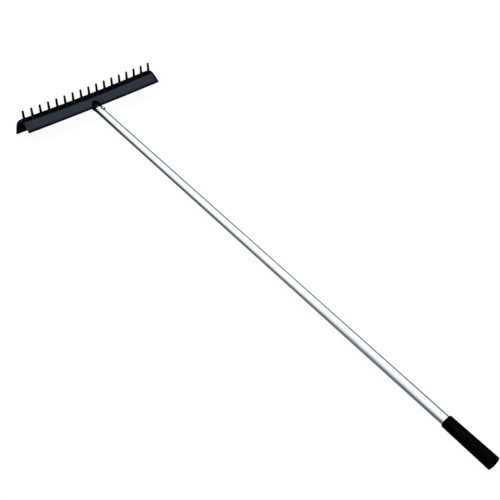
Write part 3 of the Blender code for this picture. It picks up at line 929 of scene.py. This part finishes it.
def wall_height(tree, size, x, y):
    """Height of the crest's outer face over a point (x, y)."""
    bowed = abs(x / size["Bow Span"]) ** 2
    off = y + size["Crest Offset"] - size["Crest Bow"] * bowed
    top = sums(tree, "SQRT", size["Crest Radius"] ** 2 - off * off)
    top = top - size["Crest Radius"] + size["Crest Height"]
    return top - size["Crest Dip"] * (1.0 - bowed)


def tooth_rule(tree, size):
    """The place of a point of a tooth, over the wall that is under it."""
    centre_x, turn, radius = [read(tree, name) for name in ("tooth_x", "turn", "wide")]
    centre_y = size["Crest Bow"] * abs(centre_x / size["Bow Span"]) ** 2
    x = centre_x + radius * sums(tree, "COSINE", turn)
    y = centre_y + radius * sums(tree, "SINE", turn)
    centre = wall_height(tree, size, centre_x, centre_y)
    base = centre + read(tree, "wall") * (wall_height(tree, size, x, y) - centre)
    peg = size["Peg Top"] - centre - size["Flare Height"]
    z = base + read(tree, "rise") + read(tree, "peg") * peg
    return result(tree, "ShaderNodeCombineXYZ", {"X": x, "Y": y, "Z": z})


def teeth_tree():
    tree, size = new_tree("Row of teeth", TEETH_SIZES)
    row = result(tree, "GeometryNodeMeshLine", {"Count": size["Teeth"], "Offset": (0, 0, 0)})
    index = Number(tree, result(tree, "GeometryNodeInputIndex"))
    middle = (size["Teeth"] - 1) / 2
    row = store(tree, row, "tooth_x", (index - middle) * size["Pitch"])
    copies = result(tree, "GeometryNodeInstanceOnPoints", {"Points": row,
                                                           "Instance": turned_peg(tree, size)})
    real = result(tree, "GeometryNodeRealizeInstances", {0: copies})
    move = result(tree, "GeometryNodeSetPosition", {"Geometry": real,
                                                    "Position": tooth_rule(tree, size)})
    merged = result(tree, "GeometryNodeMergeByDistance", {"Geometry": move,
                                                          "Distance": MERGE_DISTANCE})
    close_tree(tree, size, merged)
    return tree


teeth = run_tree("teeth", tooth_line, teeth_tree(), TEETH_SIZES, plastic)
lay_down(teeth)
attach(teeth, "root")
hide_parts("head")

# %% [markdown]
# ## Turned pieces
#
# The socket and its spigot, the tube, the rivet and its pin, and the grip are
# all round about an axis. One lathe in mesh code serves them all: it turns a
# list of (radius, height) points. A point on the axis closes the body, and an
# outline that stays clear of the axis closes on itself, as a tube does. The
# Screw modifier turns an outline too, but it leaves a seam to be merged.

# %% A small lathe
ON_AXIS = 1e-9
ALONG = Matrix.Rotation(math.radians(-90), 4, "X")


def lathe(name, outline, sides, look, place):
    """Turns an outline about its axis, and puts the body in its place."""
    bm = bmesh.new()
    rings = []
    for radius, height in outline:
        turns = [0.0] if radius < ON_AXIS else [TURN * step / sides for step in range(sides)]
        rings.append([bm.verts.new(place @ Vector((radius * math.cos(turn),
                                                   radius * math.sin(turn), height)))
                      for turn in turns])
    pairs = list(zip(rings[:-1], rings[1:]))
    if len(rings[0]) > 1 and len(rings[-1]) > 1:
        pairs.append((rings[-1], rings[0]))
    for low, high in pairs:
        if len(low) == 1 and len(high) == 1:
            continue
        for step in range(sides):
            after = (step + 1) % sides
            spots = []
            for ring, index in ((low, step), (low, after), (high, after), (high, step)):
                spot = ring[index % len(ring)]
                if spot not in spots:
                    spots.append(spot)
            bm.faces.new(spots)
    bmesh.ops.recalc_face_normals(bm, faces=bm.faces)
    return object_from(bm, name, look)


def rounded(outline, sizes, steps=CORNER_STEPS):
    """Rounds the named corners of an outline. sizes is {corner: radius}."""
    made = []
    for index, point in enumerate(outline):
        if index in sizes:
            after = outline[(index + 1) % len(outline)]
            made += round_off(outline[index - 1], point, after, sizes[index], steps)
        else:
            made.append(point)
    return made


def cut(target, tool, operation="DIFFERENCE"):
    """One exact cut or join. The tool goes when it is done."""
    change = target.modifiers.new("cut", "BOOLEAN")
    change.object = tool
    change.operation = operation
    change.solver = "EXACT"
    target.data = plain_mesh(target)
    bpy.data.objects.remove(tool, do_unlink=True)
    return target


def rod(name, low, high, radius, sides, look, place):
    """A closed round bar from one height to another, to cut with."""
    outline = [(0.0, low), (radius, low), (radius, high), (0.0, high)]
    return lathe(name, outline, sides, look, place)


print("lathe ready")

# %% [markdown]
# ## Socket and spigot
#
# Inside the hood's round bulge sits the socket: a tapered sleeve with a mouth
# that meets the tube's end, a closed floor, a pocket that saves plastic, and a
# hollow spigot that goes 60 mm into the tube. It could be swept with the hood,
# but it is round about the tube's axis, so it is turned, and its skin lies just
# inside the bulge. The mouth stands a little higher than the axis, as it does
# outside. One cut makes the hole for the rivet.

# %% Socket with its spigot
TUBE_RADIUS = 11.1 * MM
TUBE_WALL = 1.5 * MM
BORE_RADIUS = TUBE_RADIUS - TUBE_WALL
SPIGOT_RADIUS = BORE_RADIUS - GAP
SPIGOT_Y = MOUTH_Y - 60.0 * MM
POCKET_RADIUS = 11.3 * MM
POCKET_FLOOR_Y = -20.0 * MM
SPIGOT_BORE = 6.0 * MM
SPIGOT_BORE_Y = -28.0 * MM
SPIGOT_ROUND = 1.2 * MM
MOUTH_ROUND = 0.8 * MM
SOCKET_END_ROUND = 0.5 * MM
RIVET_HOLE = 3.5 * MM
SOCKET_DRILL = 12 * MM
HAIR = 0.1 * MM


def drill(depth, look):
    """A bar that cuts the rivet's hole from the axis outwards."""
    return rod("hole", 0.0, depth, RIVET_HOLE, sides=48, look=look, place=RIVET_PLACE)


def make_socket():
    outline = [(SPIGOT_BORE, SPIGOT_Y), (SPIGOT_RADIUS, SPIGOT_Y), (SPIGOT_RADIUS, MOUTH_Y),
               (MOUTH_RADIUS, MOUTH_Y), (SOCKET_END_RADIUS, SOCKET_END_Y),
               (POCKET_RADIUS, SOCKET_END_Y), (POCKET_RADIUS, POCKET_FLOOR_Y),
               (0.0, POCKET_FLOOR_Y), (0.0, SPIGOT_BORE_Y), (SPIGOT_BORE, SPIGOT_BORE_Y)]
    outline = rounded(outline, {1: SPIGOT_ROUND, 3: MOUTH_ROUND, 4: SOCKET_END_ROUND})
    socket = lathe("socket", outline, sides=96, look=plastic, place=ALONG)
    # The mouth is lifted, and the spigot keeps to the tube's axis.
    for spot in (vert.co for vert in socket.data.vertices):
        if math.hypot(spot.x, spot.z) > SPIGOT_RADIUS + HAIR or spot.y > SPIGOT_BORE_Y + MM:
            spot.z += MOUTH_RISE * (SOCKET_END_Y - spot.y) / (SOCKET_END_Y - MOUTH_Y)
    return cut(socket, drill(SOCKET_DRILL, plastic))


socket = make_socket()
lay_down(socket)
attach(socket, "root")
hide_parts("head")

# %% [markdown]
# ## Ribs under the hood
#
# Two ribs stand under the crest, one on each side of the socket, and keep the
# thin wall from folding there. Each is a flat plate whose upper edge follows
# the middle of the wall, so it ends inside the wall and needs no join. A curve
# with an extrusion could make such a plate, but two copies of the outline with
# faces between them keep its thickness exact. A small bevel then breaks the
# sharp edges.

# %% Two ribs under the hood
RIB_X = 13.0 * MM
RIB_THICKNESS = 2.6 * MM
RIB_INNER_Y = 10.0 * MM
RIB_INNER_Z = -4.0 * MM
RIB_FOOT_Z = -30.0 * MM
RIB_FOOT_LEAN = 0.2 * MM
RIB_NEAR_STEP = 4.0 * MM
RIB_EDGE = 0.5 * MM
EDGE_ANGLE = math.radians(40)


def make_ribs():
    # The upper edge leaves out the steps of the slope and starts at the crest.
    spine = [p for p in wall_curve(WALL / 2) if p[1] > RIB_FOOT_Z][SLOPE_STEPS:]
    spine = [(y, z - CREST_DIP * share_of((z - LIP_Z) / (CREST_Z - LIP_Z))) for y, z in spine]
    side = spine + [(spine[-1][0] + RIB_FOOT_LEAN, RIB_FOOT_Z), (RIB_INNER_Y, RIB_INNER_Z),
                    (spine[0][0] - RIB_NEAR_STEP, RIB_INNER_Z)]
    bm = bmesh.new()
    for sign in (-1, 1):
        left, right = [[bm.verts.new((sign * RIB_X + offset, y, z)) for y, z in side]
                       for offset in (-RIB_THICKNESS / 2, RIB_THICKNESS / 2)]
        for step in range(len(side)):
            after = (step + 1) % len(side)
            bm.faces.new((left[step], left[after], right[after], right[step]))
        bm.faces.new(left)
        bm.faces.new(right)
    bmesh.ops.recalc_face_normals(bm, faces=bm.faces)
    ribs = object_from(bm, "socket_ribs", plastic)
    edge = ribs.modifiers.new("soft edges", "BEVEL")
    edge.width = RIB_EDGE
    edge.segments = 3
    edge.limit_method = "ANGLE"
    edge.angle_limit = EDGE_ANGLE
    ribs.data = plain_mesh(ribs)
    return ribs


ribs = make_ribs()
lay_down(ribs)
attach(ribs, "root")
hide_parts("head")

# %% [markdown]
# ## Tube
#
# The handle is one straight aluminium tube, open at both ends, and a small
# round breaks its cut edges. Its outline is a thin rectangle beside the axis,
# so the lathe makes the outer and the inner face at once. A curve with a bevel
# depth would give the outside only. Extra points near the rivet keep the faces
# short where the hole is cut, so the shading stays clean round it.

# %% Tube
TUBE_START_Y = MOUTH_Y - GAP
GRIP_BUTT_Y = -1469.2 * MM
GRIP_START_Y = GRIP_BUTT_Y + 118.8 * MM
GRIP_END_WALL = 4.0 * MM
TUBE_END_Y = GRIP_BUTT_Y + GRIP_END_WALL + GAP
TUBE_EDGE = 0.4 * MM
TUBE_DRILL = 16 * MM
HOLE_ROOM = 9 * MM


def make_tube():
    low, high = RIVET_Y - HOLE_ROOM, RIVET_Y + HOLE_ROOM
    outline = [(BORE_RADIUS, TUBE_END_Y), (TUBE_RADIUS, TUBE_END_Y), (TUBE_RADIUS, low),
               (TUBE_RADIUS, high), (TUBE_RADIUS, TUBE_START_Y), (BORE_RADIUS, TUBE_START_Y),
               (BORE_RADIUS, high), (BORE_RADIUS, low)]
    outline = rounded(outline, {1: TUBE_EDGE, 4: TUBE_EDGE}, steps=3)
    tube = lathe("tube", outline, sides=128, look=aluminium, place=ALONG)
    return cut(tube, drill(TUBE_DRILL, aluminium))


tube = make_tube()
lay_down(tube)
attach(tube, "root")
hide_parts("handle_tube")

# %% [markdown]
# ## Rivet and pin
#
# A blind rivet holds the tube on the spigot. Its dome sits on the tube, its
# shank goes through both walls, and the pull on its pin has swollen its end to
# a bulb. The dome has to sit on a round tube, so it is cut with a cylinder a
# hair wider than the tube, which leaves a saddle. The shank is joined on, so
# the rivet is one closed body. The dome stands 5.4 mm proud, 2 mm more than in
# the CAD model, because the real one stands out that far beside the tube.

# %% Rivet and its pin
RIVET_HEAD_RADIUS = 6.2 * MM
RIVET_HEAD_HEIGHT = 5.4 * MM
RIVET_HEAD_SINK = 2.3 * MM
DOME_STEPS = 12
SEAT_START_Y = -90 * MM
SEAT_END_Y = -30 * MM
SHANK_RADIUS = 3.2 * MM
SHANK_TOP = TUBE_RADIUS + 1.2 * MM
BULB_RADIUS = 4.5 * MM
BULB_LOW = 0.6 * MM
BULB_TOP = 3.0 * MM
BULB_NECK = 1.3 * MM
BULB_LOW_SHARE = 0.8
BULB_ROUND = 0.6 * MM
PIN_RADIUS = 1.8 * MM
PIN_SINK = 0.7 * MM
PIN_HEAD_RADIUS = 2.9 * MM
PIN_HEAD_HEIGHT = 2.6 * MM
PIN_SWELL = ((0.6, 0.1), (0.9, 0.4), (1.0, 0.8))
PIN_ROUND = 0.2 * MM
BREAK_SHARE = 0.55
BREAK_EDGE = 0.25 * MM
BREAK_MIDDLE = 0.1 * MM


def make_rivet():
    hole = PIN_RADIUS + GAP
    under = TUBE_RADIUS - RIVET_HEAD_SINK
    dome = [(hole, under), (RIVET_HEAD_RADIUS, under)]
    last = math.acos(hole / RIVET_HEAD_RADIUS)
    for step in range(DOME_STEPS + 1):
        turn = last * step / DOME_STEPS
        dome.append((RIVET_HEAD_RADIUS * math.cos(turn),
                     TUBE_RADIUS + RIVET_HEAD_HEIGHT * math.sin(turn)))
    rivet = lathe("rivet", dome, sides=64, look=rivet_metal, place=RIVET_PLACE)
    cut(rivet, rod("seat", SEAT_START_Y, SEAT_END_Y, TUBE_RADIUS + GAP, sides=192,
                   look=rivet_metal, place=ALONG))
    shank = [(hole, BULB_LOW), (SHANK_RADIUS, BULB_LOW),
             (BULB_RADIUS, BULB_LOW + BULB_NECK * BULB_LOW_SHARE), (BULB_RADIUS, BULB_TOP),
             (SHANK_RADIUS, BULB_TOP + BULB_NECK), (SHANK_RADIUS, SHANK_TOP), (hole, SHANK_TOP)]
    shank = rounded(shank, {2: BULB_ROUND, 3: BULB_ROUND}, steps=3)
    shank = lathe("shank", shank, sides=64, look=rivet_metal, place=RIVET_PLACE)
    return cut(rivet, shank, "UNION")


def make_pin():
    """The pin's head sits under the bulb, and its stem broke off below the dome's top."""
    head = BULB_LOW - GAP
    low = head - PIN_HEAD_HEIGHT
    top = TUBE_RADIUS + RIVET_HEAD_HEIGHT - PIN_SINK
    swell = [(PIN_HEAD_RADIUS * wide, low + PIN_HEAD_HEIGHT * rise) for wide, rise in PIN_SWELL]
    outline = [(0.0, low), *swell, (PIN_HEAD_RADIUS, head), (PIN_RADIUS, head), (PIN_RADIUS, top),
               (PIN_RADIUS * BREAK_SHARE, top - BREAK_EDGE), (0.0, top - BREAK_MIDDLE)]
    outline = rounded(outline, {4: PIN_ROUND, 6: PIN_ROUND}, steps=3)
    return lathe("rivet_pin", outline, sides=48, look=steel, place=RIVET_PLACE)


rivet = make_rivet()
pin = make_pin()
for piece, node, slot in ((rivet, "rivet_body", "rivet_aluminium"),
                          (pin, "rivet_mandrel", "mandrel_steel")):
    lay_down(piece)
    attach(piece, "root")
    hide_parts(node)

# %% [markdown]
# ## Grip
#
# The grip is a rubber sleeve that is pushed over the end of the tube. It grows
# a little toward its butt, which is closed apart from a small vent that lets
# the air out. It has no ribs or pattern, so its shape is turned in one go. Its
# edges are rounded by about 1 mm, because rubber never leaves a mould sharp.

# %% Grip
GRIP_START_RADIUS = 14.17 * MM
GRIP_BUTT_RADIUS = 15.29 * MM
GRIP_BORE = TUBE_RADIUS + GAP
VENT_RADIUS = 1.5 * MM
VENT_ROUND = 0.3 * MM
BUTT_ROUND = 1.2 * MM
START_ROUND = 1.0 * MM


def make_grip():
    floor_y = GRIP_BUTT_Y + GRIP_END_WALL
    outline = [(GRIP_BORE, GRIP_START_Y), (GRIP_BORE, floor_y), (VENT_RADIUS, floor_y),
               (VENT_RADIUS, GRIP_BUTT_Y), (GRIP_BUTT_RADIUS, GRIP_BUTT_Y),
               (GRIP_START_RADIUS, GRIP_START_Y)]
    outline = rounded(outline, {3: VENT_ROUND, 4: BUTT_ROUND, 5: START_ROUND}, steps=8)
    return lathe("grip_sleeve", outline, sides=128, look=rubber, place=ALONG)


grip = make_grip()
lay_down(grip)
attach(grip, "root")
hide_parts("grip")

# %% [markdown]
# ## Floor, light and camera
#
# The rake lies on a plain pale floor in a soft white studio. A brighter lamp
# would make the floor white, but it would wash out the black plastic too. So
# the floor is a pale grey that lights the rake from below, and only to the
# camera does it glow almost white, which leaves a faint shadow. Gloss doesn't
# see it, because the world has a ground of its own for that.

# %% Floor
FLOOR_HALF = 12.0
FLOOR_DROP = 0.2 * MM
PAPER = (0.82, 0.82, 0.82)
PAPER_SEEN = (0.06, 0.06, 0.06)
PAPER_GLOW = 0.957


def show_both(tree, first, second):
    """Adds two shaders together and shows the sum."""
    both = result(tree, "ShaderNodeAddShader", {0: first, 1: second})
    set_inputs(tree, tree.nodes["Material Output"], {"Surface": both})


def make_floor():
    bm = bmesh.new()
    bm.faces.new([bm.verts.new((x * FLOOR_HALF, y * FLOOR_HALF, -FLOOR_DROP))
                  for x, y in ((-1, -1), (1, -1), (1, 1), (-1, 1))])
    look, tree, shader = new_material("floor_white")
    tree.nodes.remove(shader)
    seen = Number(tree, add_node(tree, "ShaderNodeLightPath").outputs["Is Camera Ray"])
    paper = blend_colours(tree, seen, PAPER, PAPER_SEEN)
    diffuse = result(tree, "ShaderNodeBsdfDiffuse", {"Color": paper})
    glow = result(tree, "ShaderNodeEmission", {"Color": WHITE, "Strength": seen * PAPER_GLOW})
    show_both(tree, diffuse, glow)
    floor = object_from(bm, "floor", look)
    floor.visible_glossy = False
    floor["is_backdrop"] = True
    print("floor:", [round(side, 1) for side in floor.dimensions], "m")


make_floor()

# %% [markdown]
# ### World
#
# Gloss shows what stands round it, so the world matters more here than any
# lamp. The camera sees plain white. Gloss sees a white studio above a slanted
# horizon, and below it a dim ground that is a little blue. Behind the head,
# beyond the grip and far to the right the studio is dark. The slant and the
# dark parts leave the tube's edge, the hood's lip and its rolled ends dark, as
# black cards do in a real studio. Matt surfaces see an even, paler sky. A
# plain white world would turn the black plastic grey.

# %% World
HORIZON_RISE = 0.60
MATT_SKY = 0.30
GROUND_TINT = (0.80, 0.92, 1.0)


def sky(tree, direction):
    """How far over the horizon a direction is, how lit it is, and how grey the ground."""
    way = add_node(tree, "ShaderNodeSeparateXYZ", {"Vector": direction}).outputs
    x, y, z = [Number(tree, way[axis]) for axis in "XYZ"]
    # The horizon slants up to the right, and it is softer on the left.
    level = x.spread(0.09, 0.0, start=-0.12, end=0.0) + x.at_least(0.0) * HORIZON_RISE
    soft = x.spread(0.28, 0.05, start=-0.12, end=0.05)
    over = ((z - level) / soft).spread(0.0, 1.0, start=-1.0, end=1.0)
    lit = (y.spread(1.0, 0.0, start=0.18, end=0.32)
           * y.spread(0.0, 1.0, start=-0.66, end=-0.44)
           * x.spread(1.0, 0.0, start=0.50, end=0.66))
    # The ground is dim under the near sky behind the head, and almost dark elsewhere.
    ground = ((1.0 - over) * y.spread(0.20, 0.02, start=0.45, end=0.76)
              * y.spread(0.1, 1.0, start=0.0, end=0.2))
    return over, lit, ground


def make_world():
    """White to the camera, a shaped studio to gloss, and an even pale sky to the rest."""
    world = bpy.data.worlds.new("studio")
    world.use_nodes = True
    tree = world.node_tree
    rays = add_node(tree, "ShaderNodeLightPath").outputs
    over, lit, ground = sky(tree, add_node(tree, "ShaderNodeTexCoord").outputs["Generated"])
    shiny = sums(tree, "MAXIMUM", rays["Is Glossy Ray"], rays["Is Transmission Ray"])
    level = shiny * (over * lit + ground) + (1.0 - shiny) * (over * MATT_SKY)
    set_inputs(tree, tree.nodes["Background"], {
        "Color": blend_colours(tree, shiny * (1.0 - over), (1, 1, 1), GROUND_TINT),
        "Strength": level.at_least(rays["Is Camera Ray"])})
    bpy.context.scene.world = world
    print("world:", world.name)


make_world()

# %% [markdown]
# ### Lights
#
# A wide lamp overhead gives the floor its soft shadow and adds to the sheen on
# the hood's slope. A weaker one stands low behind the head and puts a soft
# shine on the crest. Both are large, because a small lamp would draw hard
# bright spots on the plastic.

# %% Lights
LAMPS = ({"name": "overhead", "place": (0.25, 0.35, 1.7), "target": (0.25, 0.35, 0.0),
          "size": (2.4, 1.68), "power": 28},
         {"name": "behind", "place": (-0.5, 4.4, 1.35), "target": (0.0, 0.71, 0.05),
          "size": (1.6, 0.9), "power": 7})


def soft_light(name, place, target, size, power):
    data = bpy.data.lights.new(name, "AREA")
    data.shape = "RECTANGLE"
    data.size, data.size_y = size
    data.energy = power
    lamp = new_object(name, data)
    aim = Vector(target) - Vector(place)
    lamp.rotation_euler = aim.to_track_quat("-Z", "Y").to_euler()
    lamp.location = place
    print("lamp:", name, power, "W")


for lamp in LAMPS:
    soft_light(**lamp)

# %% [markdown]
# ### A screen for the tube
#
# The dark parts of the world suit the black head, but the bare tube would
# mirror them as black stripes. In a studio a white card would stand beside the
# tube. Here a clear dome glows wherever the world is dark, and light linking
# lets the tube alone see it.

# %% A screen for the tube
SCREEN_RADIUS = 9.0
SCREEN_GLOW = 1.08


def make_screen():
    """A clear dome that glows where the world is dark. Only the tube sees it."""
    bm = bmesh.new()
    bmesh.ops.create_uvsphere(bm, u_segments=48, v_segments=24, radius=SCREEN_RADIUS)
    look, tree, shader = new_material("screen_white")
    tree.nodes.remove(shader)
    place = add_node(tree, "ShaderNodeTexCoord").outputs["Object"]
    unit = result(tree, "ShaderNodeVectorMath", {0: place}, operation="NORMALIZE")
    over, lit = sky(tree, unit)[:2]
    level = over * SCREEN_GLOW * (1.0 - lit)
    show_both(tree, result(tree, "ShaderNodeBsdfTransparent"),
              result(tree, "ShaderNodeEmission", {"Color": WHITE, "Strength": level}))
    screen = object_from(bm, "screen", look)
    screen.visible_camera = screen.visible_diffuse = screen.visible_shadow = False
    screen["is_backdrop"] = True
    seen_by = bpy.data.collections.new("bare metal")
    seen_by.objects.link(tube)
    screen.light_linking.receiver_collection = seen_by


make_screen()

# %% [markdown]
# ### Camera
#
# The camera looks down from the grip's left side through a 60 mm lens, so the
# near grip looks large and the far head small. Its place and its turn come
# from a fit to the tips of the teeth, the edges of the tube and the ends of the
# grip. A camera set by eye would never bring all of these into line at once.

# %% Camera
LENS = 60.257
SENSOR = 36
CAMERA_PLACE = (-0.891909, -1.150611, 1.373874)
CAMERA_TURN = (46.59007, -0.22449, -38.16511)
camera_data = bpy.data.cameras.new("camera")
camera_data.lens = LENS
camera_data.sensor_width = SENSOR
camera = new_object("camera", camera_data)
camera.location = CAMERA_PLACE
camera.rotation_euler = Euler([math.radians(turn) for turn in CAMERA_TURN])
bpy.context.scene.camera = camera
bpy.context.scene.view_settings.view_transform = "Standard"
print("camera:", LENS, "mm lens at", [round(value, 3) for value in camera.location])

# %% [markdown]
#
# Both boxes are printed: the CAD's, and the one of what is drawn here with
# its finer faces and rounder edges. Finer faces and rounder edges may not make
# the rake larger than its CAD model.

visual_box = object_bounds()
sizes = {"cad": [list(corner) for corner in cad_box],
         "visual": [list(corner) for corner in visual_box]}
for label, corners in sizes.items():
    print(label, [[round(value / MM, 2) for value in corner] for corner in corners])
